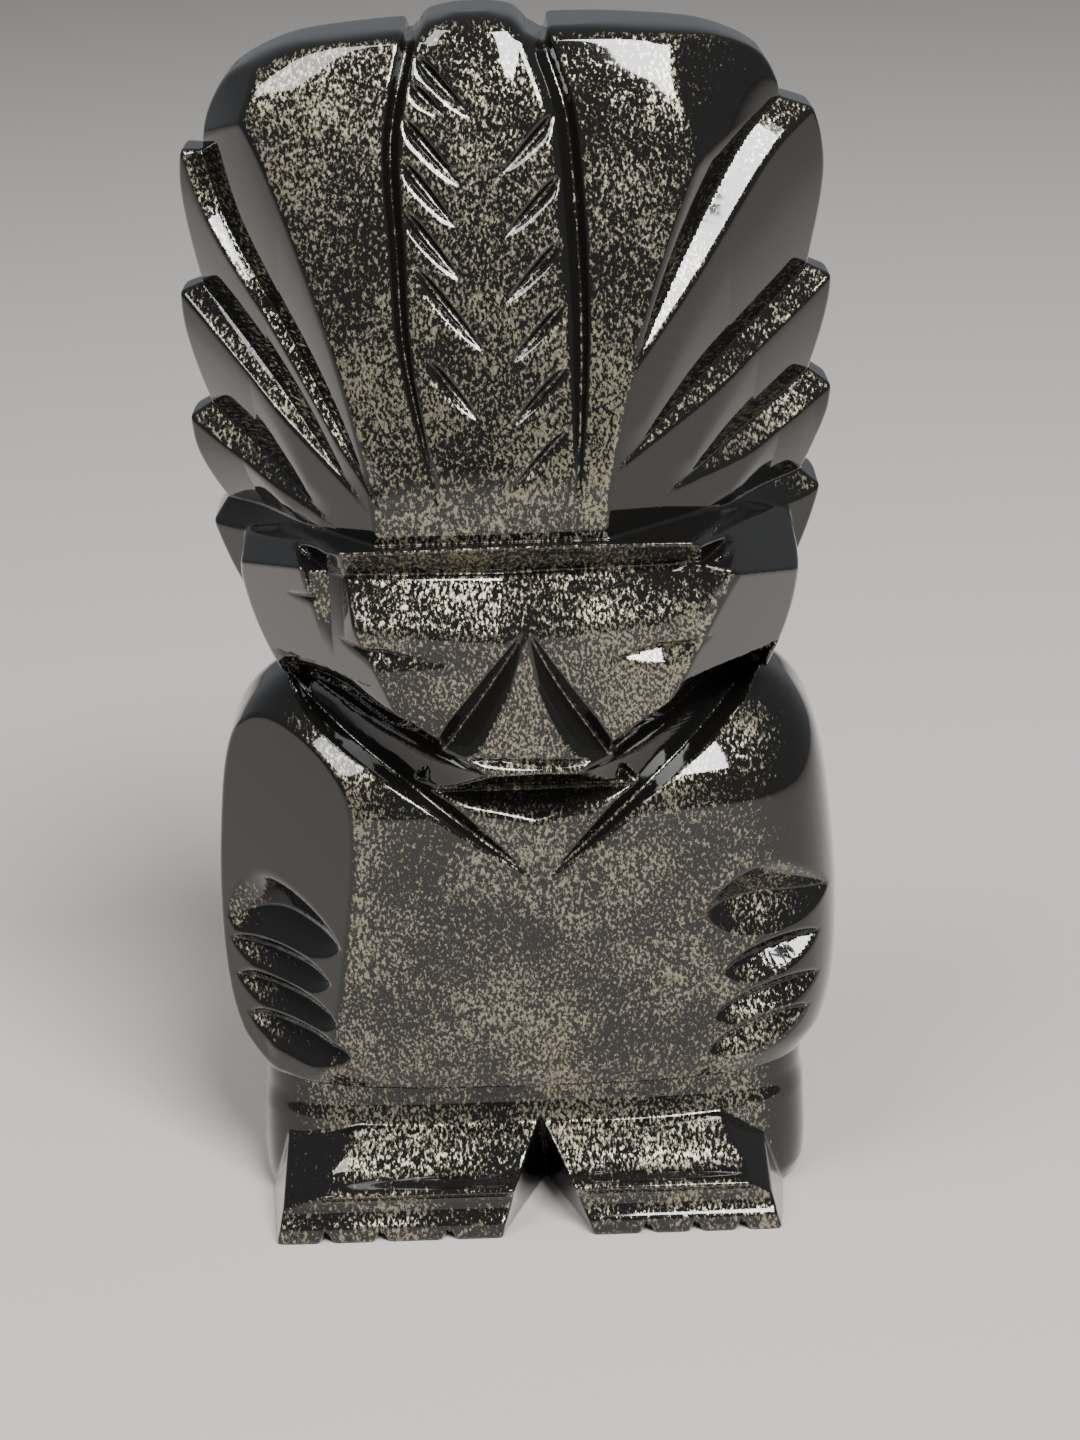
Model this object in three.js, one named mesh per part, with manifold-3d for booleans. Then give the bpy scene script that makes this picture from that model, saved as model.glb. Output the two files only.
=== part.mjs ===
// A squat figurine under a tall fan of feathers, ground and polished from one block of gold-sheen
// obsidian. Millimetres, +Z up, the face looks along -Y, and the origin is on the ground under the
// middle of the figure.
//
// The block is first roughed out as five plain masses: legs, feet, torso, face and feathers. Flat
// facets are ground on them, and then V-shaped cuts. Each cut follows a line on the surface, its
// depth swells and fades along it, and it has one wall on each side.
import * as THREE from "three";
import { mergeVertices } from "three/addons/utils/BufferGeometryUtils.js";
import Module from "manifold-3d";

const wasm = await Module();
wasm.setup();

const vec = (x, y, z) => new THREE.Vector3(x, y, z);
const degrees = THREE.MathUtils.degToRad;

// Driving dimensions
const HEIGHT = 112.2;
const SHOULDER_WIDTH = 59.2;
const FEATHER_WIDTH = 59.6;
const BASE_WIDTH = 53;
const FACE_Y = -19.5;
const WAIST_Y = 1; // the deepest and the widest section of every mass meet here
const TOE_Y = -18.9;
const FOOT_TOP = 9.2;
const BELLY_EDGE = 13.6;
const CHIN = 44.6;
const BAND = 68; // the groove between the forehead and the feathers

// How finely round stretches are faceted
const RING_SIDES = 40;
const LOFT_STEP = 5;
const SMOOTHING = 1.2; // span over which a surface direction is taken
const PROUD = 0.7; // how far a cutter stands out of the surface
const FAR = 150; // larger than the figure

// The masses. Each row is [height, share of the full width, front y, back y].
const LEGS = {
  width: BASE_WIDTH, middle: 0.2, squareness: 4.5,
  rows: [[0, 0.97, -12.6, 16.6], [2, 1, -13, 17.2], [9, 1, -12.6, 17.6], [11.5, 0.99, -12, 17.6], [20, 1, -12.6, 17.6]],
};
const TORSO = {
  width: SHOULDER_WIDTH, middle: 0.3, squareness: 3.4,
  rows: [
    [BELLY_EDGE, 0.9, -14.5, 17.2], [16.5, 0.96, -15.2, 18.2], [22, 0.995, -15.9, 18.9], [30, 1, -16.3, 19],
    [38, 0.98, -16, 18.6], [43.5, 0.953, -14.8, 17.6], [47, 0.912, -12.4, 15.2], [50, 0.824, -9, 11.5],
    [52.2, 0.69, -5.6, 8], [53.4, 0.54, -3, 6],
  ],
};
const FACE = {
  width: 51.6, middle: 0.6, squareness: 5,
  rows: [
    [CHIN, 0.64, FACE_Y, 13], [50, 0.81, FACE_Y, 14.6], [56, 0.93, FACE_Y, 15.8], [62, 0.985, FACE_Y, 16.4],
    [65.5, 0.975, -19, 16.4], [BAND, 0.95, -18.2, 16.4],
  ],
};
const FEATHERS = {
  width: FEATHER_WIDTH, middle: 0.2, squareness: 4.5,
  rows: [
    [58.8, 0.82, -15.4, 15.8], [62, 0.89, -16.8, 16.4], [67, 0.96, -17.6, 16.4], [74, 0.993, -17.2, 15.6],
    [82, 1, -16, 14.4], [90, 0.987, -14.2, 12.8], [98, 0.96, -12, 11], [103, 0.913, -10.4, 9.6],
    [106.4, 0.85, -9.1, 8.6], [108.8, 0.73, -8, 7.6], [110.6, 0.52, -7, 6.4], [HEIGHT, 0.2, -5.6, 4.6],
  ],
};

// Flat facets, each as [a point on it, the direction it faces]
const JAW_FACETS = [
  [vec(-15.5, -19.3, 64.6), vec(-0.746, -0.588, -0.313)],
  [vec(19, -19.3, 64.6), vec(0.7, -0.62, -0.33)],
];
const FEATHER_FACETS = [
  [vec(-20.5, -10.5, 101), vec(-0.757, -0.648, -0.068)],
  [vec(17.8, -11, 100), vec(0.664, -0.745, -0.049)],
  [vec(20, -9, 104.5), vec(0.6, -0.5, 0.62)],
];
const SHOULDER_FACETS = [[vec(-25, -6, 40), vec(-0.71, -0.7, 0.06)]];
const FOOT_FACETS = [
  [vec(0, -18.6, 4.7), vec(0, -0.585, 0.811)],
  [vec(-23.4, -18.6, 4.6), vec(-1, -0.1, 0.25)],
  [vec(22, -18.6, 4.6), vec(1, -0.1, 0.3)],
];

// One column of a mass's rows at height z, on a smooth curve through the rows.
function column(rows, index, z) {
  const last = rows.length - 1;
  const at = THREE.MathUtils.clamp(z, rows[0][0], rows[last][0]);
  let i = 0;
  while (i < last - 1 && rows[i + 1][0] < at) i += 1;
  const slope = (k) => {
    const [a, b] = [rows[Math.max(k - 1, 0)], rows[Math.min(k + 1, last)]];
    return (b[index] - a[index]) / (b[0] - a[0]);
  };
  const span = rows[i + 1][0] - rows[i][0];
  const t = (at - rows[i][0]) / span;
  const [t2, t3] = [t * t, t * t * t];
  return (2 * t3 - 3 * t2 + 1) * rows[i][index] + (t3 - 2 * t2 + t) * span * slope(i)
    + (3 * t2 - 2 * t3) * rows[i + 1][index] + (t3 - t2) * span * slope(i + 1);
}

function section(mass, z) {
  return {
    half: (column(mass.rows, 1, z) * mass.width) / 2,
    front: WAIST_Y - column(mass.rows, 2, z),
    back: column(mass.rows, 3, z) - WAIST_Y,
  };
}

// Below zero inside a block and above zero outside it.
function blockValue({ mass, facets }, p) {
  const s = section(mass, p.z);
  const u = Math.abs(p.x - mass.middle) / s.half;
  const v = Math.abs(p.y - WAIST_Y) / (p.y < WAIST_Y ? s.front : s.back);
  const ring = ((u ** mass.squareness + v ** mass.squareness) ** (1 / mass.squareness) - 1) * s.front;
  const [low, high] = [mass.rows[0][0], mass.rows[mass.rows.length - 1][0]];
  const flat = facets.map(([point, facing]) => p.clone().sub(point).dot(facing.clone().normalize()));
  return Math.max(ring, low - p.z, p.z - high, ...flat);
}

// A closed skin over rings of points, each ring counter-clockwise as seen from the last one.
function skin(rings) {
  const sides = rings[0].length;
  const faces = [];
  for (let k = 0; k < rings.length - 1; k += 1) {
    for (let j = 0; j < sides; j += 1) {
      const [a, b] = [k * sides + j, k * sides + ((j + 1) % sides)];
      faces.push(a, b, b + sides, a, b + sides, a + sides);
    }
  }
  const end = (rings.length - 1) * sides;
  for (let j = 1; j < sides - 1; j += 1) faces.push(0, j + 1, j, end, end + j, end + j + 1);
  const geometry = new THREE.BufferGeometry().setFromPoints(rings.flat());
  geometry.setIndex(faces);
  return geometry;
}

// Every row's height, and further heights between rows that are far apart.
function levels(rows) {
  return rows.slice(1).reduce((all, [high]) => {
    const low = all[all.length - 1];
    const steps = Math.ceil((high - low) / LOFT_STEP);
    for (let k = 1; k <= steps; k += 1) all.push(low + ((high - low) * k) / steps);
    return all;
  }, [rows[0][0]]);
}

function massGeometry(mass) {
  const power = 2 / mass.squareness;
  return skin(levels(mass.rows).map((z) => {
    const s = section(mass, z);
    return Array.from({ length: RING_SIDES }, (_, j) => {
      const turn = (2 * Math.PI * (j + 0.5)) / RING_SIDES;
      const [c, d] = [Math.cos(turn), Math.sin(turn)];
      const x = mass.middle + Math.sign(c) * Math.abs(c) ** power * s.half;
      const y = WAIST_Y + Math.sign(d) * Math.abs(d) ** power * (d < 0 ? s.front : s.back);
      return vec(x, y, z);
    });
  }));
}

// A closed geometry as a solid that can be joined and cut.
function solid(geometry) {
  const bare = geometry.index ? geometry.toNonIndexed() : geometry.clone();
  const places = new THREE.BufferGeometry().setAttribute("position", bare.getAttribute("position"));
  const merged = mergeVertices(places, 1e-4);
  return new wasm.Manifold(new wasm.Mesh({
    numProp: 3,
    vertProperties: merged.attributes.position.array,
    triVerts: new Uint32Array(merged.index.array),
  }));
}

// The stone that lies outside a facet, as a large box laid against it.
function outside([point, facing]) {
  const turn = new THREE.Quaternion().setFromUnitVectors(vec(0, 0, 1), facing.clone().normalize());
  const centre = point.clone().addScaledVector(facing.clone().normalize(), FAR / 2);
  const box = new THREE.BoxGeometry(FAR, FAR, FAR);
  return solid(box.applyMatrix4(new THREE.Matrix4().compose(centre, turn, vec(1, 1, 1))));
}

function blockSolid({ mass, facets }) {
  return facets.reduce((stone, facet) => stone.subtract(outside(facet)), solid(massGeometry(mass)));
}

const legs = { mass: LEGS, facets: [] };
const torso = { mass: TORSO, facets: SHOULDER_FACETS };
const face = { mass: FACE, facets: JAW_FACETS };
const feathers = { mass: FEATHERS, facets: FEATHER_FACETS };
const FEET_MASS = {
  width: 2 * 25, middle: -0.5, squareness: 30,
  rows: [[0, 1, TOE_Y, 2], [FOOT_TOP, 1, TOE_Y, 2]],
};
const feet = { mass: FEET_MASS, facets: FOOT_FACETS };
const whole = [legs, torso, face, feathers, feet];

const stoneValue = (blocks, p) => Math.min(...blocks.map((block) => blockValue(block, p)));

// The outermost point of the stone on a ray from a point inside it.
function surfacePoint(blocks, origin, direction) {
  const at = (s) => origin.clone().addScaledVector(direction, s);
  let outer = 60;
  while (outer > 0 && stoneValue(blocks, at(outer)) > 0) outer -= 0.5;
  let inner = outer;
  outer += 0.5;
  for (let k = 0; k < 14; k += 1) {
    const half = (inner + outer) / 2;
    if (stoneValue(blocks, at(half)) > 0) outer = half;
    else inner = half;
  }
  return at(inner);
}

function surfaceDirection(blocks, p) {
  const slope = (axis) => {
    const step = axis.clone().multiplyScalar(SMOOTHING);
    return stoneValue(blocks, p.clone().add(step)) - stoneValue(blocks, p.clone().sub(step));
  };
  return vec(slope(vec(1, 0, 0)), slope(vec(0, 1, 0)), slope(vec(0, 0, 1))).normalize();
}

// Share of the full depth at t from 0 to 1 along a cut that is deepest at peak.
function swell(t, peak) {
  const away = t < peak ? (peak - t) / peak : (t - peak) / (1 - peak);
  return 1 - away * away;
}

// A V-shaped cutter along points on the surface. The walls lean away from the middle of the V by
// the angles left and right, in degrees, as seen from outside looking along the cut. Facing gives
// the way out of the stone at a point, and aside the way to the left of the cut.
function cutter(points, facing, aside, { depth, left = 40, right = 40, peak = 0.5 }) {
  return solid(skin(points.map((p, k) => {
    const sink = Math.max(depth * swell(k / (points.length - 1), peak), 0.02);
    const reach = sink + PROUD;
    const top = p.clone().addScaledVector(facing(k), PROUD);
    return [
      p.clone().addScaledVector(facing(k), -sink),
      top.clone().addScaledVector(aside(k), reach * Math.tan(degrees(left))),
      top.clone().addScaledVector(aside(k), -reach * Math.tan(degrees(right))),
    ];
  })));
}

// A cut through [x, z] places of the front, or of the back where view looks the other way.
function faceOn(places, shape, { blocks = whole, steps = 8, view = vec(0, -1, 0) } = {}) {
  const drawn = new THREE.SplineCurve(places.map(([x, z]) => new THREE.Vector2(x, z)));
  const points = drawn.getPoints(steps).map((q) => surfacePoint(blocks, vec(q.x, WAIST_Y, q.y), view));
  const path = new THREE.CatmullRomCurve3(points);
  const out = points.reduce((sum, p) => sum.add(surfaceDirection(blocks, p)), vec(0, 0, 0)).normalize();
  const aside = (k) => out.clone().cross(path.getTangent(k / (points.length - 1))).normalize();
  return cutter(points, () => out, aside, shape);
}

// A cut in one plane that starts on the front at inner, runs round the figure's edge at outer and
// ends behind.
function wrapCut(inner, outer, shape, steps = 12) {
  const origin = vec(inner[0], WAIST_Y, inner[1]);
  const sideways = vec(outer[0] - inner[0], 0, outer[1] - inner[1]).normalize();
  const across = sideways.clone().cross(vec(0, 1, 0));
  const way = (turn) => vec(0, -Math.cos(turn), 0).addScaledVector(sideways, Math.sin(turn));
  const turns = Array.from({ length: steps + 1 }, (_, k) => (Math.PI * k) / steps);
  const points = turns.map((turn) => surfacePoint([feathers], origin, way(turn)));
  const facing = (k) => {
    const out = surfaceDirection([feathers], points[k]);
    return out.addScaledVector(across, -out.dot(across)).normalize();
  };
  return cutter(points, facing, () => across, shape);
}

// Feathers fan out on both sides, laid like shingles. Each groove runs from [x, z] on the front
// round the edge at [x, z] and on to the back. Its upper wall is the wide one.
const WIDE = 66;
const STEEP = 34;
const FAN_LEFT = [
  { inner: [-13.4, 71.4], outer: [-26.6, 102.4], depth: 1.6 },
  { inner: [-11.8, 69.6], outer: [-28.4, 89.2], depth: 2 },
  { inner: [-14.8, 68.6], outer: [-28.6, 78.4], depth: 2 },
  { inner: [-19.6, 65.4], outer: [-28.4, 69], depth: 2 },
];
const FAN_RIGHT = [
  { inner: [9.6, 82.4], outer: [25.2, 105.4], depth: 0.9 },
  { inner: [14.8, 85.6], outer: [28, 102.6], depth: 1.5 },
  { inner: [9.8, 73], outer: [29.2, 89], depth: 2 },
  { inner: [14, 70.2], outer: [29.2, 78.8], depth: 2 },
  { inner: [20.6, 66.4], outer: [28.8, 69.4], depth: 2 },
];

// The middle feather stands between two long grooves, with barbs on both sides of its quill.
const FEATHER_EDGE_LEFT = [[-6.6, 112], [-8.4, 105], [-9.8, 92], [-9.3, 82], [-6.3, 71.6]];
const FEATHER_EDGE_RIGHT = [[2.6, 112], [4.8, 104], [6.6, 91], [6.5, 82], [5.9, 70.4]];
const BARBS_LEFT = { count: 6, top: 107, pitch: 4.7, outer: -8.2, quill: -1.9, drop: 7.2 };
const BARBS_RIGHT = { count: 8, top: 105, pitch: 3.7, outer: 5.2, quill: 0.6, drop: 4.6 };

function barbs({ count, top, pitch, outer, quill, drop }) {
  return Array.from({ length: count }, (_, k) => {
    const z = top - pitch * k;
    return faceOn([[outer, z], [quill, z - drop]], { depth: 0.7, peak: 0.35 }, { steps: 3 });
  });
}

function headdressCuts() {
  return [
    ...FAN_LEFT.map(({ inner, outer, depth }) => wrapCut(inner, outer, { depth, left: STEEP, right: WIDE })),
    ...FAN_RIGHT.map(({ inner, outer, depth }) => wrapCut(inner, outer, { depth, left: WIDE, right: STEEP })),
    faceOn(FEATHER_EDGE_LEFT, { depth: 1.2, left: 42, right: 42, peak: 0.2 }, { steps: 9 }),
    faceOn(FEATHER_EDGE_RIGHT, { depth: 1.3, left: 50, right: 42, peak: 0.2 }, { steps: 9 }),
    ...barbs(BARBS_LEFT),
    ...barbs(BARBS_RIGHT),
  ];
}

// The face is a few cuts on one flat. The lower wall of a brow, an eye or the chin is the wide one.
function faceCuts() {
  const nose = { depth: 2.6, peak: 0.8 };
  return [
    faceOn([[-17, 67.6], [-6.2, 68.3], [2.5, 68.2], [11.2, 67.6], [21, 65.4]], { depth: 2.3, left: 30, right: 64 }),
    faceOn([[2.6, 61.6], [10.1, 65], [18.4, 66.4]], { depth: 1.7, left: 28, right: 60 }),
    faceOn([[-16, 66.6], [-9.8, 64.7], [-0.6, 60.5]], { depth: 1.3, left: 30, right: 60 }),
    faceOn([[-19.6, 62.8], [-10.4, 62.2]], { depth: 1, left: 36, right: 58 }, { steps: 4 }),
    faceOn([[-15.6, 59.2], [-5.8, 58]], { depth: 1.3, left: 36, right: 60 }, { steps: 4 }),
    faceOn([[7.8, 58.6], [17.6, 59.2]], { depth: 1.7, left: 36, right: 60 }, { steps: 4 }),
    faceOn([[1, 61.2], [-8.4, 46.6]], { ...nose, left: 46, right: 32 }, { steps: 6 }),
    faceOn([[1, 61.2], [5, 53.4], [9.8, 46]], { ...nose, left: 32, right: 46 }, { steps: 6 }),
    faceOn([[-5.4, 48.9], [8.2, 48.4]], { depth: 0.9, left: 34, right: 34 }, { steps: 4 }),
    faceOn([[-5.6, 44.9], [8.8, 44.7]], { depth: 2.2, left: 30, right: 66 }, { steps: 4 }),
  ];
}

// A collar line runs down from each side of the neck to the middle of the chest.
function collarCuts() {
  const collar = { depth: 1.7, left: 42, right: 42, peak: 0.4 };
  return [
    faceOn([[-22.4, 54.6], [-17.2, 50.9], [-8, 44.4], [0.9, 36]], collar, { blocks: [torso] }),
    faceOn([[23.6, 56], [20.3, 53.1], [10.8, 45], [1.7, 36]], collar, { blocks: [torso] }),
  ];
}

// Each hand lies flat on the belly: one cut at the wrist and three between the fingers.
const HANDS = [
  {
    wrist: [[-28.6, 26.4], [-24.4, 28.6], [-17.8, 30.2]],
    fingers: [[[-28, 25], [-18.9, 25.4]], [[-28, 21.4], [-18.4, 21.5]], [[-27, 17.6], [-17.9, 18.2]]],
  },
  {
    wrist: [[16.8, 31.4], [23.4, 28.6], [29, 29]],
    fingers: [[[18.9, 25.6], [28, 24.8]], [[18, 21.1], [27, 21.4]], [[18.2, 17.4], [25.4, 18.6]]],
  },
];

function handCuts({ wrist, fingers }) {
  const blocks = [torso];
  return [
    faceOn(wrist, { depth: 2.4, left: 58, right: 52 }, { blocks, steps: 5 }),
    ...fingers.map((line) => faceOn(line, { depth: 1.7, right: 48 }, { blocks, steps: 4 })),
  ];
}

// A grinding wheel whose rim has two bevels, spinning about an axle through its centre.
function wheel(centre, radius, axle, bevel) {
  const half = radius * Math.tan(degrees(bevel));
  const rim = [new THREE.Vector2(0, -half), new THREE.Vector2(radius, 0), new THREE.Vector2(0, half)];
  const turn = new THREE.Quaternion().setFromUnitVectors(vec(0, 1, 0), axle.clone().normalize());
  return solid(new THREE.LatheGeometry(rim, 64).applyQuaternion(turn).translate(...centre.toArray()));
}

// The feet: a notch between them, a hollow over the toes, small nicks between the toes, and a
// crease round each leg above the foot.
const NOTCH_X = 1.3;
const TOE_NICKS = [-19.8, -14.6, -8.2, 10.6, 15.2, 19.6];
const LEG_WHEEL = 20;

function footCuts() {
  const hollow = new THREE.CylinderGeometry(1.9, 1.9, FAR, 24).rotateZ(Math.PI / 2).translate(0, TOE_Y - 1, 3.3);
  const side = LEG_WHEEL + BASE_WIDTH / 2;
  return [
    wheel(vec(NOTCH_X, -24, -4), 17.8, vec(1, 0, 0.04), 21),
    solid(hollow),
    ...TOE_NICKS.map((x) => wheel(vec(x, -24.4, -5.4), 8.8, vec(1, 0, 0), 38)),
    wheel(vec(side - 0.9, 0, 8.8), LEG_WHEEL, vec(0, 0, 1), 42),
    wheel(vec(-side + 0.5, 0, 10.6), LEG_WHEEL, vec(0, 0, 1), 42),
  ];
}

// Behind, the stone is plainer: a neck line and the backs of the arms.
function backCuts() {
  const view = vec(0, 1, 0);
  return [
    faceOn([[26, 58.4], [0.4, 56.4], [-25, 58.4]], { depth: 2.4, left: 46 }, { view }),
    faceOn([[-19, 49], [-20.4, 34], [-19, 16]], { depth: 1.4 }, { view, blocks: [torso] }),
    faceOn([[19.6, 49], [21, 34], [19.6, 16]], { depth: 1.4 }, { view, blocks: [torso] }),
  ];
}

function figurine() {
  const stone = whole.map(blockSolid).reduce((sum, block) => sum.add(block));
  const cuts = [
    ...headdressCuts(), ...faceCuts(), ...collarCuts(), ...HANDS.flatMap(handCuts), ...footCuts(), ...backCuts(),
  ];
  const carved = cuts.reduce((left, cut) => left.subtract(cut), stone).simplify(0.02);
  // Crossing cuts set small splinters free, which fall away.
  const [figure] = carved.decompose().sort((a, b) => b.volume() - a.volume());
  const mesh = figure.getMesh();
  const geometry = new THREE.BufferGeometry();
  geometry.setAttribute("position", new THREE.BufferAttribute(mesh.vertProperties, 3));
  geometry.setIndex(new THREE.BufferAttribute(mesh.triVerts, 1));
  geometry.computeVertexNormals();
  return geometry;
}

const obsidian = new THREE.MeshStandardMaterial({ color: 0x14120e, roughness: 0.08, metalness: 0.1 });
const piece = new THREE.Mesh(figurine(), obsidian);
piece.name = "obsidian_figurine";

const group = new THREE.Group();
group.add(piece);
export default group;
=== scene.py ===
"""A squat figurine under a tall fan of feathers, ground from one block of gold-sheen obsidian.

The stone is a solid given by a distance formula in millimetres: plain masses with flat facets, and
then V-shaped cuts of a grinding wheel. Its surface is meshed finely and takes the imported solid's place.
"""

import math

import bpy
import numpy as np
from mathutils import Matrix, Vector


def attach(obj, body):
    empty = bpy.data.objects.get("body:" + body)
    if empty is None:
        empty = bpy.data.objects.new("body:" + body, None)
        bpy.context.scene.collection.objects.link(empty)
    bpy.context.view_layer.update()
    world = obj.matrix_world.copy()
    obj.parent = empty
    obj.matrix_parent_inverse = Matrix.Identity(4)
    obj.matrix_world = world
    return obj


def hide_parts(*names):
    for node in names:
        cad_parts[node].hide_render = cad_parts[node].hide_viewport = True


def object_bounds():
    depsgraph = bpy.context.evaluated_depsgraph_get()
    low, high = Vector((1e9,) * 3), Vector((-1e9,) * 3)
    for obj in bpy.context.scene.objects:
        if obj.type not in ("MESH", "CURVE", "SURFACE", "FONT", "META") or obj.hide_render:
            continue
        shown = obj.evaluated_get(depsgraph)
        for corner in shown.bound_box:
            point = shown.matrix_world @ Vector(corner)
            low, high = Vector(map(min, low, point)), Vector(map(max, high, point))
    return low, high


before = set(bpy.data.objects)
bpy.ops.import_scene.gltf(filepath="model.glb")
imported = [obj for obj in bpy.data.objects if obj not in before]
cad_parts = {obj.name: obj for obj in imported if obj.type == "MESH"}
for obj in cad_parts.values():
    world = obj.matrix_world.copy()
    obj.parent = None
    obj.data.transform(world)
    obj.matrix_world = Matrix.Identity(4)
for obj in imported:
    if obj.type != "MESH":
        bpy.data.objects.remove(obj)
cad_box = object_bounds()

MM = 0.001
X, Y, Z = np.eye(3)

# Driving dimensions of the stone, in millimetres
HEIGHT = 112.2
SHOULDER_WIDTH = 59.2
FEATHER_WIDTH = 59.6
BASE_WIDTH = 53
FACE_Y = -19.5
WAIST_Y = 1  # the deepest and the widest section of every mass meet here
TOE_Y = -18.9
FOOT_TOP = 9.2
BELLY_EDGE = 13.6
CHIN = 44.6
BAND = 68  # the groove between the forehead and the feathers

# How round the polished edges are
EDGE = 0.3
CREASE = 0.22
RIM = 1.2

# Sampling of the surface
CELL = 0.3
COARSE = 4  # cells in one side of a coarse cell
MARGIN = 1.2
FACE_LIMIT = 190_000
MOST = 9.0  # distances are not needed beyond this


def unit(v):
    v = np.asarray(v, float)
    return v / np.linalg.norm(v)


def smooth_max(a, b, radius):
    """The greater of two distances, with the edge between them rounded."""
    blend = np.maximum(radius - np.abs(a - b), 0)
    return np.maximum(a, b) + blend * blend / (4 * radius)


def smooth_min(a, b, radius):
    return -smooth_max(-a, -b, radius)


def curve(rows, index, z):
    """One column of a mass's rows at heights z, on a smooth curve through the rows."""
    height, value = np.array(rows, float)[:, [0, index]].T
    last = len(rows) - 1
    before = np.maximum(np.arange(last + 1) - 1, 0)
    after = np.minimum(np.arange(last + 1) + 1, last)
    slope = (value[after] - value[before]) / (height[after] - height[before])
    i = np.clip(np.searchsorted(height, z, side="right") - 1, 0, last - 1)
    span = height[i + 1] - height[i]
    t = (z - height[i]) / span
    rise = (3 - 2 * t) * t * t
    return (
        (1 - rise) * value[i] + rise * value[i + 1]
        + (t - 1) ** 2 * t * span * slope[i] + (t - 1) * t * t * span * slope[i + 1]
    )


class Mass:
    """A rounded block. Each row is [height, share of the full width, front y, back y]."""

    def __init__(self, width, middle, squareness, rows, facets=()):
        self.middle = middle
        self.power = squareness
        self.low, self.high = rows[0][0], rows[-1][0]
        self.z = np.linspace(self.low, self.high, 1200)
        self.half = curve(rows, 1, self.z) * width / 2
        self.front = WAIST_Y - curve(rows, 2, self.z)
        self.back = curve(rows, 3, self.z) - WAIST_Y
        self.facets = [(np.asarray(point, float), unit(facing)) for point, facing in facets]

    def distance(self, p):
        z = p[:, 2]
        near = (z > self.low - 3) & (z < self.high + 3)
        out = np.full(len(p), MOST)
        out[near] = self.near_distance(p[near])
        return out

    def near_distance(self, p):
        x, y, z = p[:, 0] - self.middle, p[:, 1] - WAIST_Y, p[:, 2]
        ahead = y < 0
        half = np.interp(z, self.z, self.half)
        half_slope = np.interp(z, self.z, np.gradient(self.half, self.z))
        deep = np.where(ahead, np.interp(z, self.z, self.front), np.interp(z, self.z, self.back))
        deep_slope = np.where(
            ahead,
            np.interp(z, self.z, np.gradient(self.front, self.z)),
            np.interp(z, self.z, np.gradient(self.back, self.z)),
        )
        u, v = np.abs(x) / half + 1e-6, np.abs(y) / deep + 1e-6
        un, vn = u ** (self.power - 1), v ** (self.power - 1)
        total = un * u + vn * v
        ring = total ** (1 / self.power)
        lean = un * u * half_slope / half + vn * v * deep_slope / deep
        steepness = ring / total * np.sqrt((un / half) ** 2 + (vn / deep) ** 2 + lean ** 2)
        d = (ring - 1) / steepness
        d = smooth_max(d, self.low - z, EDGE)
        d = smooth_max(d, z - self.high, RIM)
        for point, facing in self.facets:
            d = smooth_max(d, (p - point) @ facing, EDGE)
        return d


LEGS = Mass(BASE_WIDTH, 0.2, 4.5, [
    [0, 0.97, -12.6, 16.6], [2, 1, -13, 17.2], [9, 1, -12.6, 17.6], [11.5, 0.99, -12, 17.6], [20, 1, -12.6, 17.6],
])
TORSO = Mass(SHOULDER_WIDTH, 0.3, 3.4, [
    [BELLY_EDGE, 0.9, -14.5, 17.2], [16.5, 0.96, -15.2, 18.2], [22, 0.995, -15.9, 18.9], [30, 1, -16.3, 19],
    [38, 0.98, -16.5, 18.6], [43.5, 0.953, -15.8, 17.6], [47, 0.912, -13.4, 15.2], [50, 0.824, -9.6, 11.5],
    [52.2, 0.69, -5.6, 8], [53.4, 0.54, -3, 6],
], facets=[([-25, -6, 40], [-0.71, -0.7, 0.06])])
FACE = Mass(51.6, 0.6, 5, [
    [CHIN, 0.64, FACE_Y, 13], [50, 0.81, FACE_Y, 14.6], [56, 0.93, FACE_Y, 15.8], [62, 0.985, FACE_Y, 16.4],
    [65.5, 0.975, FACE_Y, 16.4], [BAND, 0.95, FACE_Y, 16.4],
], facets=[
    ([0, -19.35, 55], [0, -1, 0]),
    ([-15.5, -19.3, 64.6], [-0.746, -0.588, -0.313]),
    ([19, -19.3, 64.6], [0.7, -0.62, -0.33]),
    ([-19.4, -17, 65], [-0.6, -0.26, 0.75]),
    ([19.4, -17, 65.6], [0.6, -0.26, 0.75]),
])
FEATHERS = Mass(FEATHER_WIDTH, 0.2, 4.5, [
    [58.8, 0.83, -12.6, 15.8], [62, 0.895, -14.4, 16.4], [66, 0.95, -16, 16.6], [69, 0.972, -17.3, 16.4],
    [74, 0.993, -17.2, 15.6], [82, 1, -16, 14.4], [90, 0.99, -14.2, 12.8], [98, 0.97, -12, 11],
    [103, 0.925, -10.4, 9.6], [106.4, 0.835, -9.1, 8.6], [108.6, 0.73, -8, 7.6], [110.1, 0.6, -7.2, 6.6],
    [110.9, 0.45, -6.6, 6],
], facets=[
    ([-20.5, -10.5, 101], [-0.757, -0.648, -0.068]),
    ([-24, -6, 104], [-0.72, -0.45, 0.53]),
    ([17.8, -11, 100], [0.664, -0.745, -0.049]),
    ([17.2, -11, 100.3], [0.47, -0.776, 0.42]),
])
MIDDLE_FEATHER = Mass(11.6, -1.9, 4.5, [
    [100, 1, -11.6, 10.6], [108, 0.98, -8.5, 8], [110.6, 0.9, -7.2, 6.8], [111.6, 0.72, -6.4, 6],
    [HEIGHT, 0.5, -5.8, 5],
])
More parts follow.
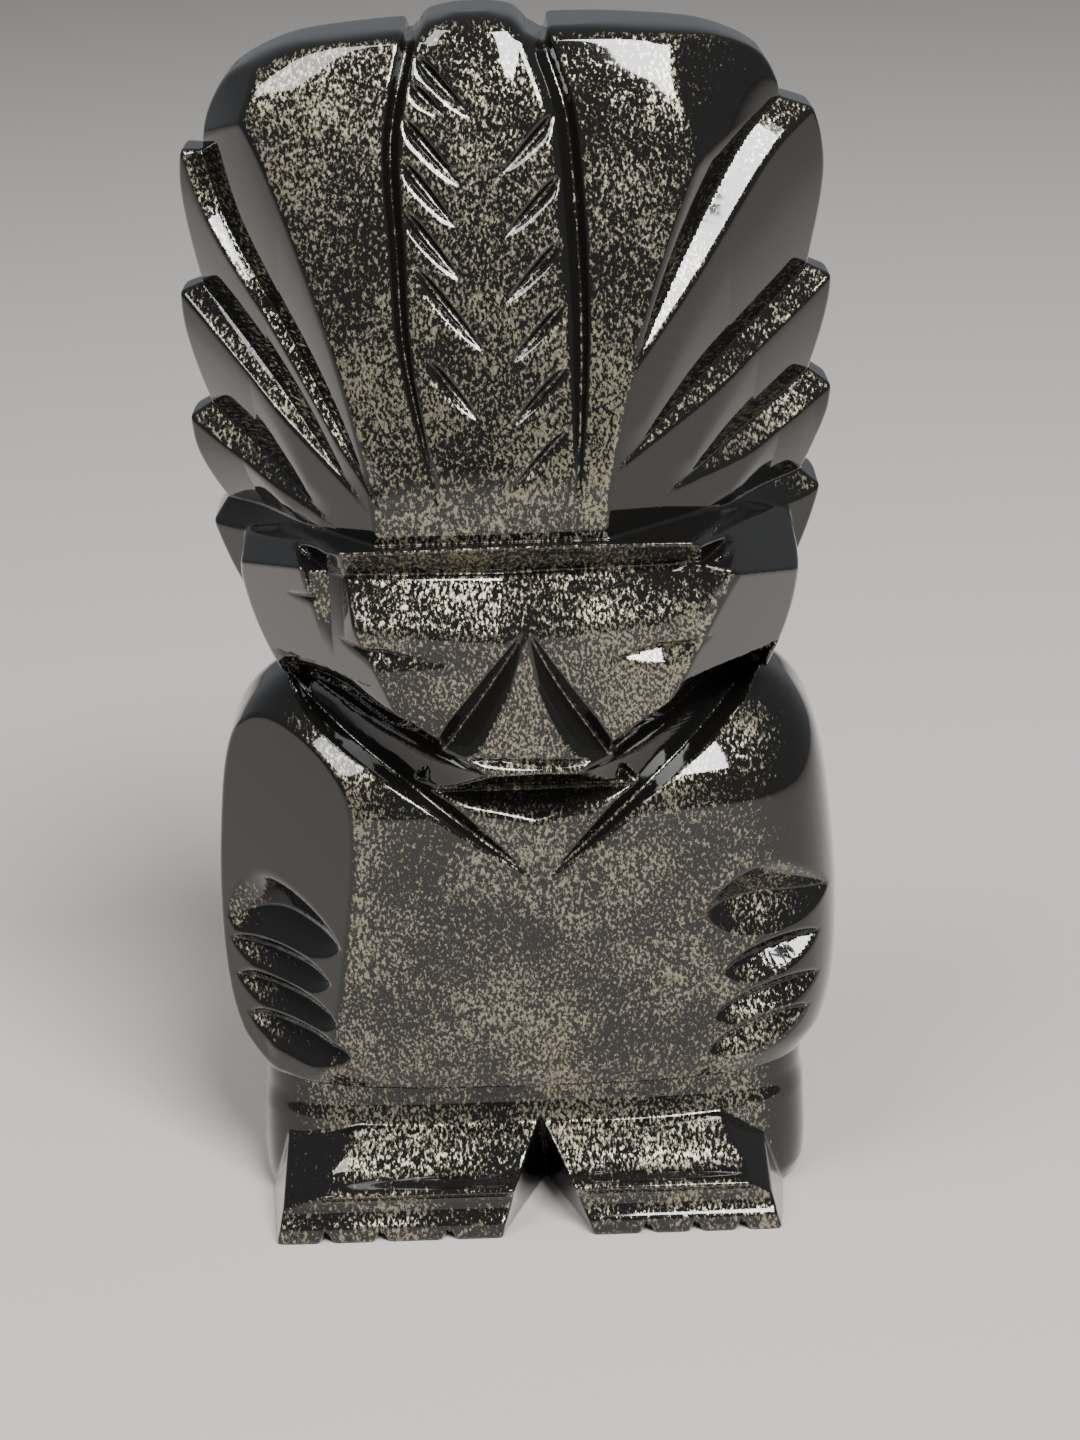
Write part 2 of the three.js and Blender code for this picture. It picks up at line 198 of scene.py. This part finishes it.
FEET = Mass(50, -0.5, 30, [[0, 1, TOE_Y, 2], [FOOT_TOP, 1, TOE_Y, 2]], facets=[
    ([0, -18.6, 4.7], [0, -0.585, 0.811]),
    ([-23.4, -18.6, 4.6], [-1, -0.1, 0.25]),
    ([-17, -13.5, 8.4], [-0.32, -0.45, 0.83]),
    ([22, -18.6, 4.6], [1, -0.1, 0.3]),
    ([18.4, -13.5, 8.4], [0.6, -0.3, 0.74]),
])
WHOLE = (LEGS, TORSO, FACE, FEATHERS, MIDDLE_FEATHER, FEET)


def block_distance(masses, p):
    d = masses[0].distance(p)
    for mass in masses[1:]:
        d = smooth_min(d, mass.distance(p), CREASE)
    return d


def slope_at(distance, p, step=0.05):
    """The direction in which a distance grows fastest, at each point."""
    rises = [distance(p + axis * step) - distance(p - axis * step) for axis in (X, Y, Z)]
    slope = np.stack(rises, 1)
    return slope / np.maximum(np.linalg.norm(slope, axis=1, keepdims=True), 1e-9)


def surface_points(masses, origins, directions):
    """The outermost point of the masses on each ray from a point inside them."""
    reach = np.arange(60, 0, -0.5)
    at = origins[:, None] + reach[:, None] * directions[:, None]
    inside = block_distance(masses, at.reshape(-1, 3)).reshape(at.shape[:2]) < 0
    inner = reach[inside.argmax(axis=1)]
    outer = inner + 0.5
    for _ in range(14):
        half = (inner + outer) / 2
        out = block_distance(masses, origins + half[:, None] * directions) > 0
        outer = np.where(out, half, outer)
        inner = np.where(out, inner, half)
    return origins + inner[:, None] * directions


def catmull_rom(places, count):
    """A smooth line through places, as count + 1 points."""
    places = np.asarray(places, float)
    last = len(places) - 1
    at = np.linspace(0, last, count + 1)
    i = np.minimum(at.astype(int), last - 1)
    t = (at - i)[:, None]
    a, b = places[np.maximum(i - 1, 0)], places[i]
    c, d = places[i + 1], places[np.minimum(i + 2, last)]
    a = np.where((i == 0)[:, None], b, a)
    d = np.where((i + 2 > last)[:, None], c, d)
    va, vb = (c - a) / 2, (d - b) / 2
    return (2 * (b - c) + va + vb) * t ** 3 + (3 * (c - b) - 2 * va - vb) * t ** 2 + va * t + b


def swell(t, peak):
    """Share of the full depth at t from 0 to 1 along a cut that is deepest at peak."""
    away = np.where(t < peak, (peak - t) / max(peak, 1e-6), (t - peak) / max(1 - peak, 1e-6))
    return np.maximum(1 - away * away, -3)


class Groove:
    """A V-shaped cut that follows the surface. Its walls lean away from the middle of the V by the
    angles left and right, in degrees, as seen from outside looking along the cut."""

    def __init__(self, masses, depth, left, right):
        self.masses = masses
        self.depth = np.max(depth)
        self.left, self.right = math.radians(left), math.radians(right)

    def spread(self):
        return (self.depth + 1.5) * math.tan(max(self.left, self.right)) + 1

    def wall(self, surface, sideways, sink):
        """Distance out of the V for points this far from the surface and from its middle."""
        walls = [
            (surface + sink - side / math.tan(angle)) * math.sin(angle)
            for side, angle in ((sideways, self.left), (-sideways, self.right))
        ]
        return smooth_min(walls[0], walls[1], CREASE)

    def carve(self, d, surfaces, p):
        near = self.reach(p)
        if near.any():
            sideways, sink = self.place(p[near])
            wall = self.wall(surfaces[self.masses][near], sideways, sink)
            d[near] = smooth_max(d[near], wall, EDGE)


class FaceOn(Groove):
    """A cut through [x, z] places of the front, or of the back where view looks the other way. The depth
    is one number, swelling to its full value at peak, or one number for each place."""

    STEPS = 24
    RUN_OUT = 0.6  # how fast the cut rises out of the stone beyond its ends

    def __init__(self, places, depth, left=40, right=40, peak=0.5, masses=WHOLE, view=-Y):
        super().__init__(masses, depth, left, right)
        t = np.linspace(0, 1, self.STEPS + 1)
        drawn = catmull_rom(places, self.STEPS)
        if np.ndim(depth):
            self.sinks = np.interp(t, np.linspace(0, 1, len(places)), depth)
        else:
            self.sinks = depth * swell(t, peak)
        origins = np.stack([drawn[:, 0], np.full(len(drawn), WAIST_Y), drawn[:, 1]], 1)
        path = surface_points(masses, origins, np.broadcast_to(view, origins.shape))
        out = unit(slope_at(lambda q: block_distance(masses, q), path, 1.2).sum(axis=0))
        along = path[-1] - path[0]
        self.along = unit(along - out * (along @ out))
        self.aside = np.cross(out, self.along)
        self.start = path[0]
        self.u, self.v = (path - self.start) @ self.along, (path - self.start) @ self.aside
        self.tilt = np.gradient(self.v, self.u)
        self.low, self.high = path.min(axis=0) - self.spread(), path.max(axis=0) + self.spread()

    def reach(self, p):
        return ((p > self.low) & (p < self.high)).all(axis=1)

    def place(self, p):
        q = p - self.start
        u, v = q @ self.along, q @ self.aside
        tilt = np.interp(u, self.u, self.tilt)
        beyond = np.maximum(np.maximum(-u, u - self.u[-1]), 0)
        sink = np.interp(u, self.u, self.sinks) - self.RUN_OUT * beyond
        return (v - np.interp(u, self.u, self.v)) / np.sqrt(1 + tilt * tilt), sink


class Wrap(Groove):
    """A cut along [x, z] places seen from the front. It starts on the front at the first place, runs round
    the figure's edge at the last one and ends behind."""

    def __init__(self, places, depth, left, right):
        super().__init__(WHOLE, depth, left, right)
        drawn = catmull_rom(places, 24)
        self.origin = np.array([drawn[0, 0], WAIST_Y, drawn[0, 1]])
        along = drawn[-1] - drawn[0]
        self.sideways = unit([along[0], 0, along[1]])
        self.across = np.cross(self.sideways, Y)
        offsets = np.stack([drawn[:, 0], np.full(len(drawn), WAIST_Y), drawn[:, 1]], 1) - self.origin
        self.u, self.v = offsets @ self.sideways, offsets @ self.across

    def middle(self, p):
        q = p - self.origin
        u = q @ self.sideways
        return q, u, q @ self.across - np.interp(u, self.u, self.v)

    def reach(self, p):
        q, u, v = self.middle(p)
        return (np.abs(v) < self.spread()) & (u > -2)

    def place(self, p):
        q, u, v = self.middle(p)
        return v, self.depth * swell(np.arctan2(u, -q[:, 1]) / math.pi, 0.5)


class Shingle(Wrap):
    """A wrapping cut with a steep lower wall, below a feather whose edge is domed."""

    def __init__(self, places, depth, lower, lobe):
        super().__init__(places, depth, lower, lower)
        self.lobe = lobe
        self.upward = 1 if self.across[2] > 0 else -1

    def spread(self):
        return self.lobe + 1.5

    def carve(self, d, surfaces, p):
        near = self.reach(p)
        q, u, v = self.middle(p[near])
        height, surface = v * self.upward, surfaces[self.masses][near]
        turn = np.arctan2(u, -q[:, 1]) / math.pi
        sink = self.depth * swell(turn, 0.5)
        inward = np.minimum(turn, 1 - turn)
        rise = np.clip(height / (self.lobe * np.clip(inward / 0.35, 0.25, 1)), -1, 1)
        dome = 1.15 * (1 - rise) ** 2 - 0.15
        upper = surface + np.where(sink > 0, sink * dome, sink)
        lower = (surface + sink + height / math.tan(self.left)) * math.sin(self.left)
        soft = np.where(height < 0, EDGE, np.clip(0.15 * sink, 0.01, EDGE))
        d[near] = smooth_max(d[near], smooth_min(upper, lower, CREASE), soft)


class Wheel:
    """A grinding wheel with two bevels on its rim."""

    def __init__(self, centre, radius, axle, bevel, edge=EDGE):
        self.centre = np.array(centre, float)
        self.radius = radius
        self.axle = unit(axle)
        self.bevel = math.radians(bevel)
        self.edge = edge

    def carve(self, d, surfaces, p):
        near = (np.abs(p - self.centre) < self.radius + 1).all(axis=1)
        q = p[near] - self.centre
        side = q @ self.axle
        out = np.linalg.norm(q - side[:, None] * self.axle, axis=1)
        inside = (self.radius - out) * math.sin(self.bevel) - np.abs(side) * math.cos(self.bevel)
        d[near] = smooth_max(d[near], inside, self.edge)


class Hollow:
    """A round hollow along X."""

    def __init__(self, y, z, radius, edge=EDGE):
        self.y, self.z, self.radius, self.edge = y, z, radius, edge

    def carve(self, d, surfaces, p):
        near = (np.abs(p[:, 1] - self.y) < self.radius + 1) & (np.abs(p[:, 2] - self.z) < self.radius + 1)
        out = np.hypot(p[near, 1] - self.y, p[near, 2] - self.z)
        d[near] = smooth_max(d[near], self.radius - out, self.edge)


# Feathers fan out on both sides, laid like shingles. Each groove runs through [x, z] places from the
# front to the figure's edge, and round it. After them: its depth, the lean of its lower wall, its lobe.
FAN = [
    ([[-11.7, 72.3], [-17.6, 83], [-24.2, 94], [-26.6, 101.6]], 1.9, 44, 9),
    ([[-13.1, 72], [-23.7, 84.1], [-28.2, 88.8]], 2, 44, 10),
    ([[-16.3, 69.1], [-21.1, 72.4], [-28.6, 77.2]], 2.1, 44, 10),
    ([[-17, 68], [-28, 67.3]], 2, 44, 9),
    ([[10.8, 82.3], [16.3, 92.2], [21.5, 100.4], [25.8, 104.2]], 2.1, 52, 7),
    ([[9.8, 74.3], [21, 82.8], [26.8, 87.2], [29.1, 89.3]], 2.1, 46, 11),
    ([[14.5, 70.9], [22.6, 74.8], [29.2, 78.9]], 2.1, 48, 10),
    ([[18, 67.6], [22.4, 68], [26.8, 68.5], [29, 69.4]], 2, 44, 9),
]

# The middle feather stands between two long grooves, with barbs on both sides of its quill.
FEATHER_EDGE_LEFT = [[-5.8, 70.5], [-7.2, 76.5], [-8.7, 85], [-9, 93], [-9.3, 100.5], [-8.6, 105.6], [-6.9, 112]]
FEATHER_EDGE_RIGHT = [[5.8, 70], [6.3, 76.1], [6.8, 86.5], [6.6, 96], [6.1, 103.4], [5.2, 106.9], [3.4, 112]]
BARBS_LEFT = [
    [[-6.8, 109.1], [-2.2, 104.1]],
    [[-7.3, 106.9], [-4.6, 104.3]],
    [[-8.2, 104.3], [-3.3, 98.5]],
    [[-8.3, 100.8], [-3.9, 95.2]],
    [[-8.2, 96.6], [-3.6, 90.8]],
    [[-7.4, 91.9], [-1.8, 84.8]],
    [[-6.6, 84.1], [-2.5, 79]],
]
BARBS_RIGHT = 6
BARB_TOP = 104.5
BARB_PITCH = 5.3
BARB_DROP = 5.1


def headdress_cuts():
    right = [[[5.4, z], [0.4, z - BARB_DROP]] for z in BARB_TOP - BARB_PITCH * np.arange(BARBS_RIGHT)]
    return [
        *[Shingle(*feather) for feather in FAN],
        Wrap(FEATHER_EDGE_LEFT, 1.2, left=30, right=38),
        Wrap(FEATHER_EDGE_RIGHT, 1.4, left=52, right=32),
        *[FaceOn(places, 0.75, left=32, right=52, peak=0.35) for places in BARBS_LEFT],
        *[FaceOn(places, 0.75, left=52, right=32, peak=0.35) for places in right],
    ]


def face_cuts():
    """A few cuts on one flat. The lower wall of a brow, an eye or the chin is the wide one."""
    return [
        FaceOn([[-19, 67], [-15.1, 67.2], [-1, 67.3], [14, 67.2], [19, 66.9]], [0.3, 2.4, 3, 2.4, 0.3], left=18, right=64),
        FaceOn([[2.9, 61.1], [7.7, 63.3], [12.1, 64.9], [15.6, 65.5], [19.6, 66]], [0, 1.6, 2.2, 1.9, 0], left=24, right=56),
        FaceOn([[-20, 62.6], [-16, 63.1], [-12.6, 63.5], [-9.7, 63.3], [-3, 61]], [0, 0.9, 1.6, 1.6, 0], left=42, right=50),
        FaceOn([[-15.4, 59.4], [-12, 58.8], [-9, 58.2], [-5.9, 57.7]], [0, 1, 0.5, 0], left=26, right=56),
        FaceOn([[8, 57.5], [10.6, 58], [13, 58.5], [17.2, 59.1]], [0, 0.6, 1.15, 0], left=26, right=56),
        FaceOn([[1, 60.6], [-1.8, 56], [-5, 51.4], [-8.8, 46.2]], [0, 1.5, 2.2, 1.7], left=46, right=33),
        FaceOn([[1.2, 60.6], [3.2, 56], [5.9, 51.4], [9.6, 46]], [0, 1.5, 2.2, 1.7], left=33, right=46),
        FaceOn([[-5.6, 48.7], [-1.7, 48.2], [3.7, 47.9], [8, 48.2]], 0.9, left=32, right=38),
        FaceOn([[-8, 44.3], [1.4, 44.5], [10.4, 44.3]], [0.4, 2.8, 0.4], left=4, right=50, masses=(TORSO,)),
    ]


def collar_cuts():
    """A line from each side of the neck to the middle of the chest."""
    collar = {"depth": 1.7, "left": 42, "right": 42, "peak": 0.4, "masses": (TORSO,)}
    return [
        FaceOn([[-20.5, 51.4], [-16.6, 49.2], [-8.6, 44], [0.9, 36]], **collar),
        FaceOn([[21.4, 51.4], [18.4, 49.4], [10.8, 43.8], [2.4, 36]], **collar),
    ]


HANDS = [
    (
        [[-28.6, 27.6], [-24.4, 29.4], [-17.2, 28.6]],
        [[[-28.4, 25.4], [-18.4, 24.6]], [[-28, 21.9], [-17.9, 20.8]], [[-27, 18.4], [-16.8, 17.4]]],
    ),
    (
        [[16.8, 31.4], [22.4, 31.8], [28.6, 31]],
        [[[18.4, 25], [27.6, 27]], [[17.4, 20.4], [27.6, 22.6]], [[16.8, 16.6], [26.6, 19.4]]],
    ),
]


def hand_cuts():
    """Each hand lies flat on the belly: one cut at the wrist and three between the fingers."""
    cuts = []
    for wrist, fingers in HANDS:
        cuts.append(FaceOn(wrist, 2.4, left=58, right=54, masses=(TORSO,)))
        cuts += [FaceOn(line, 1.9, left=44, right=50, masses=(TORSO,)) for line in fingers]
    return cuts


NOTCH_X = 1.3
TOE_NICKS = [-19.8, -14.6, -8.2, 10.6, 15.2, 19.6]
LEG_WHEEL = 20


def foot_cuts():
    """A notch between the feet, a hollow over the toes, nicks between them, and a crease on each leg."""
    side = LEG_WHEEL + BASE_WIDTH / 2
    return [
        Wheel([NOTCH_X, -24, -4], 17.8, [1, 0, 0.04], 21),
        Hollow(TOE_Y - 1, 3.3, 1.9),
        Hollow(-19.2, 9.6, 4.5),
        *[Wheel([x, -24.4, -5.4], 8.8, X, 38, edge=0.15) for x in TOE_NICKS],
        Wheel([side - 0.9, 0, 8.8], LEG_WHEEL, Z, 42),
        Wheel([-side + 0.5, 0, 10.6], LEG_WHEEL, Z, 42),
    ]


def back_cuts():
    """Behind, the stone is plainer: a neck line and the backs of the arms."""
    return [
        FaceOn([[26, 58.4], [0.4, 56.4], [-25, 58.4]], 2.4, left=46, view=Y),
        FaceOn([[-19, 49], [-20.4, 34], [-19, 16]], 1.4, masses=(TORSO,), view=Y),
        FaceOn([[19.6, 49], [21, 34], [19.6, 16]], 1.4, masses=(TORSO,), view=Y),
    ]


CUTS = headdress_cuts() + face_cuts() + collar_cuts() + hand_cuts() + foot_cuts() + back_cuts()


def stone_distance(p):
    """Below zero inside the finished stone and above zero outside it."""
    surfaces = {WHOLE: block_distance(WHOLE, p), (TORSO,): TORSO.distance(p)}
    d = surfaces[WHOLE].copy()
    for cut in CUTS:
        cut.carve(d, surfaces, p)
    return np.maximum(d, -p[:, 2])


def sampled(distance, low, high):
    """Distances at the nodes of a fine grid, taken only where the surface can be."""
    steps = np.ceil((high - low) / (CELL * COARSE)).astype(int)
    axes = [low[k] + CELL * COARSE * np.arange(steps[k] + 1) for k in range(3)]
    nodes = np.stack(np.meshgrid(*axes, indexing="ij"), -1)
    rough = in_chunks(distance, nodes.reshape(-1, 3)).reshape(nodes.shape[:3])
    near = np.abs(rough) < 1.4 * math.sqrt(3) * CELL * COARSE
    wanted = np.zeros(steps, bool)
    for corner in np.ndindex(2, 2, 2):
        wanted |= near[tuple(slice(c, c + n) for c, n in zip(corner, steps))]
    shape = steps * COARSE + 1
    fine = np.full(shape, MOST, np.float32)
    inside = np.kron(rough[:-1, :-1, :-1] < 0, np.ones((COARSE,) * 3, bool))
    fine[:-1, :-1, :-1][inside] = -MOST
    mask = np.zeros(shape, bool)
    blocks = np.kron(wanted, np.ones((COARSE,) * 3, bool))
    for corner in np.ndindex(2, 2, 2):
        mask[tuple(slice(c, c + n - 1) for c, n in zip(corner, shape))] |= blocks
    where = np.argwhere(mask)
    fine[mask] = in_chunks(distance, low + where * CELL)
    return fine


def in_chunks(distance, p, size=60_000):
    return np.concatenate([distance(p[k:k + size]) for k in range(0, len(p), size)])


def surface_net(values, low):
    """A closed mesh of triangles with a vertex in each cell that the surface crosses, and two triangles on
    each crossed edge."""
    inside = values < 0
    rings, places = [], []
    for axis in range(3):
        near, far = [slice(None)] * 3, [slice(None)] * 3
        near[axis], far[axis] = slice(None, -1), slice(1, None)
        near, far = tuple(near), tuple(far)
        crossed = inside[near] != inside[far]
        at = np.argwhere(crossed)
        a, b = values[near][crossed], values[far][crossed]
        place = at.astype(float)
        place[:, axis] += a / (a - b)
        one, two = np.roll(np.eye(3, dtype=int), -axis, axis=0)[1:]
        cells = [at, at - one, at - one - two, at - two]
        ring = np.stack([np.ravel_multi_index(cell.T, values.shape) for cell in cells], 1)
        entering = ~inside[near][crossed]
        ring[entering] = ring[entering, ::-1]
        rings.append(ring)
        places.append(place)
    rings, places = np.concatenate(rings), np.concatenate(places)
    quads = np.unique(rings, return_inverse=True)[1].reshape(rings.shape)
    count = np.bincount(quads.ravel())
    sums = [np.bincount(quads.ravel(), np.repeat(places[:, k], 4)) for k in range(3)]
    vertices = low + CELL * np.stack(sums, 1) / count[:, None]
    return vertices, np.concatenate([quads[:, :3], quads[:, [0, 2, 3]]])


# Looks start here
def mesh_object(name, vertices, faces):
    mesh = bpy.data.meshes.new(name)
    mesh.from_pydata(vertices.tolist(), [], faces.tolist())
    thing = bpy.data.objects.new(name, mesh)
    bpy.context.scene.collection.objects.link(thing)
    return thing


def thinned(thing, share):
    """The object with its mesh collapsed to a share of its triangles."""
    modifier = thing.modifiers.new("thin", "DECIMATE")
    modifier.ratio = share
    graph = bpy.context.evaluated_depsgraph_get()
    mesh = bpy.data.meshes.new_from_object(thing.evaluated_get(graph))
    thing.modifiers.clear()
    thing.data = mesh


def corners_of(mesh):
    """Vertex places and the three vertex numbers of each triangle."""
    places = np.empty(len(mesh.vertices) * 3, np.float32)
    mesh.vertices.foreach_get("co", places)
    loops = np.empty(len(mesh.loops), np.int32)
    mesh.loops.foreach_get("vertex_index", loops)
    return places.reshape(-1, 3).astype(float), loops.reshape(-1, 3)


def onto_surface(p, rounds=3):
    """Points moved onto the surface that they are close to."""
    for _ in range(rounds):
        away = in_chunks(stone_distance, p)
        step = np.clip(away, -CELL, CELL)[:, None] * in_chunks(lambda q: slope_at(stone_distance, q), p)
        p = p - step
    return p


def carved_stone(name):
    low = np.array(cad_box[0]) / MM - MARGIN
    high = np.array(cad_box[1]) / MM + MARGIN
    vertices, triangles = surface_net(sampled(stone_distance, low, high), low)
    stone = mesh_object(name, vertices, triangles)
    thinned(stone, min(1, FACE_LIMIT / len(triangles)))
    places, triangles = corners_of(stone.data)
    places = np.clip(onto_surface(places), low + MARGIN, high - MARGIN)
    centres = places[triangles].mean(axis=1)
    inset = 0.7 * places[triangles] + 0.3 * centres[:, None]
    normals = in_chunks(lambda q: slope_at(stone_distance, q, 0.03), inset.reshape(-1, 3))
    stone.data.vertices.foreach_set("co", (places * MM).ravel())
    stone.data.polygons.foreach_set("use_smooth", np.ones(len(triangles), bool))
    stone.data.normals_split_custom_set(normals.tolist())
    stone.data.update()
    return stone


def node(tree, kind, inputs=None, **settings):
    """A shader node with its settings and its inputs, which are values or other nodes' outputs."""
    made = tree.nodes.new("ShaderNode" + kind)
    for key, value in settings.items():
        setattr(made, key, value)
    for key, value in (inputs or {}).items():
        if isinstance(value, bpy.types.NodeSocket):
            tree.links.new(value, made.inputs[key])
        else:
            made.inputs[key].default_value = value
    return made


def math_node(tree, operation, *values):
    return node(tree, "Math", dict(enumerate(values)), operation=operation).outputs[0]


def ranged(tree, value, low, high, to_low=0.0, to_high=1.0, smooth=True):
    """A value from low to high, mapped to the range to_low to to_high and held outside it."""
    made = node(tree, "MapRange", {0: value, 1: low, 2: high, 3: to_low, 4: to_high})
    made.interpolation_type = "SMOOTHSTEP" if smooth else "LINEAR"
    return made.outputs[0]


def noise(tree, vector, scale, detail=2.0, roughness=0.5):
    inputs = {"Vector": vector, "Scale": scale, "Detail": detail, "Roughness": roughness}
    return node(tree, "TexNoise", inputs).outputs["Fac"]


def mixed(tree, share, a, b):
    made = node(tree, "Mix", data_type="RGBA")
    for key, value in ((0, share), (6, a), (7, b)):
        if isinstance(value, bpy.types.NodeSocket):
            tree.links.new(value, made.inputs[key])
        else:
            made.inputs[key].default_value = value
    return made.outputs[2]


def obsidian_material():
    material = bpy.data.materials.new("gold_sheen_obsidian")
    material.use_nodes = True
    tree = material.node_tree
    tree.nodes.clear()
    place = node(tree, "TexCoord").outputs["Object"]
    normal = node(tree, "NewGeometry").outputs["Normal"]
    x, y, z = node(tree, "SeparateXYZ", {0: place}).outputs
    nx, ny, nz = node(tree, "SeparateXYZ", {0: normal}).outputs

    # Fine gas bubbles drawn out in one direction are the stone's own grains. Their gold is a painted sheen, kept
    # to faces that turn to the front and not to the sides or the back; it is also metallic, so lamps catch it.
    lie = node(tree, "Mapping", {0: place, "Rotation": (0, math.radians(-28), 0), "Scale": (3600, 1300, 2400)})
    grains = noise(tree, lie.outputs[0], 1.0, 2.0, 0.7)
    patches = noise(tree, place, 90.0, 3.0, 0.6)
    facing = ranged(tree, math_node(tree, "ABSOLUTE", nx), 0.75, 0.25)
    ahead = ranged(tree, ny, -0.3, -0.6)
    # Painted sheen: the grains turn gold only on faces turned to the front (-Y).
    lit = math_node(tree, "MULTIPLY", facing, ahead)
    amount = math_node(tree, "MULTIPLY", lit, ranged(tree, patches, 0.2, 0.7, 0.55, 1.0))
    limit = ranged(tree, amount, 0.0, 1.0, 0.85, 0.47, smooth=False)
    grains_and_painted_sheen = ranged(tree, math_node(tree, "SUBTRACT", grains, limit), -0.04, 0.16)

    # Near-black stone, with the painted gold sheen on its grains where the mask above allows it.
    colour = mixed(tree, grains_and_painted_sheen, (0.006, 0.0055, 0.005, 1), (0.34, 0.31, 0.22, 1))
    rough = ranged(tree, grains_and_painted_sheen, 0.0, 1.0, 0.06, 0.42, smooth=False)
    shader = node(tree, "BsdfPrincipled", {
        "Base Color": colour, "Metallic": grains_and_painted_sheen, "Roughness": rough,
        "Specular IOR Level": 0.2, "Coat Weight": 1.0, "Coat Roughness": 0.03, "Coat IOR": 1.42,
    })
    output = node(tree, "OutputMaterial")
    tree.links.new(shader.outputs[0], output.inputs[0])
    return material


def plain_material(name, colour, roughness):
    material = bpy.data.materials.new(name)
    material.use_nodes = True
    shader = material.node_tree.nodes["Principled BSDF"]
    shader.inputs["Base Color"].default_value = colour
    shader.inputs["Roughness"].default_value = roughness
    return material


def floor(size=6.0):
    half = size / 2
    corners = np.array([[-half, -half, 0], [half, -half, 0], [half, half, 0], [-half, half, 0]])
    ground = mesh_object("floor", corners, np.array([[0, 1, 2, 3]]))
    ground.data.materials.append(plain_material("pale_floor", (0.5, 0.47, 0.44, 1), 0.7))


def softbox(name, azimuth, elevation, distance, size, power, aim=(0, 0, 0.06)):
    """A square light seen from the figure at that azimuth, to the right of straight ahead, and elevation."""
    a, e = math.radians(azimuth), math.radians(elevation)
    way = Vector((math.sin(a) * math.cos(e), -math.cos(a) * math.cos(e), math.sin(e)))
    data = bpy.data.lights.new(name, "AREA")
    data.shape = "RECTANGLE"
    data.size, data.size_y = size
    data.energy = power
    light = bpy.data.objects.new(name, data)
    light.location = Vector(aim) + way * distance
    light.rotation_mode = "QUATERNION"
    light.rotation_quaternion = way.to_track_quat("Z", "Y")
    bpy.context.scene.collection.objects.link(light)


def studio():
    world = bpy.data.worlds.new("studio")
    world.use_nodes = True
    backdrop = world.node_tree.nodes["Background"]
    backdrop.inputs["Color"].default_value = (0.80, 0.84, 0.9, 1)
    backdrop.inputs["Strength"].default_value = 0.22
    bpy.context.scene.world = world
    softbox("key", 25, 50, 1.0, (0.4, 0.4), 20)
    softbox("fill", -45, 60, 1.0, (0.4, 0.4), 6)
    floor()


# The photograph is taken from a little above the figure's head, 20 degrees down, with the camera
# turned slightly about its own view line. Places are in millimetres.
CAMERA_AT = (2.0168, -275.828, 145.5377)
CAMERA_PITCH = 20
CAMERA_ROLL = -1.918
LENS = 77
SENSOR = 36


def camera():
    data = bpy.data.cameras.new("camera")
    data.lens, data.sensor_width = LENS, SENSOR
    data.clip_start, data.clip_end = 0.01, 20
    view = bpy.data.objects.new("camera", data)
    pitch, roll = math.radians(90 - CAMERA_PITCH), math.radians(CAMERA_ROLL)
    turn = Matrix.Rotation(pitch, 4, "X") @ Matrix.Rotation(roll, 4, "Z")
    view.matrix_world = Matrix.Translation(Vector(CAMERA_AT) * MM) @ turn
    bpy.context.scene.collection.objects.link(view)
    bpy.context.scene.camera = view


figurine = carved_stone("figurine")
figurine.data.materials.append(obsidian_material())
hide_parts("obsidian_figurine")
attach(figurine, "root")
studio()
camera()

bpy.context.view_layer.update()
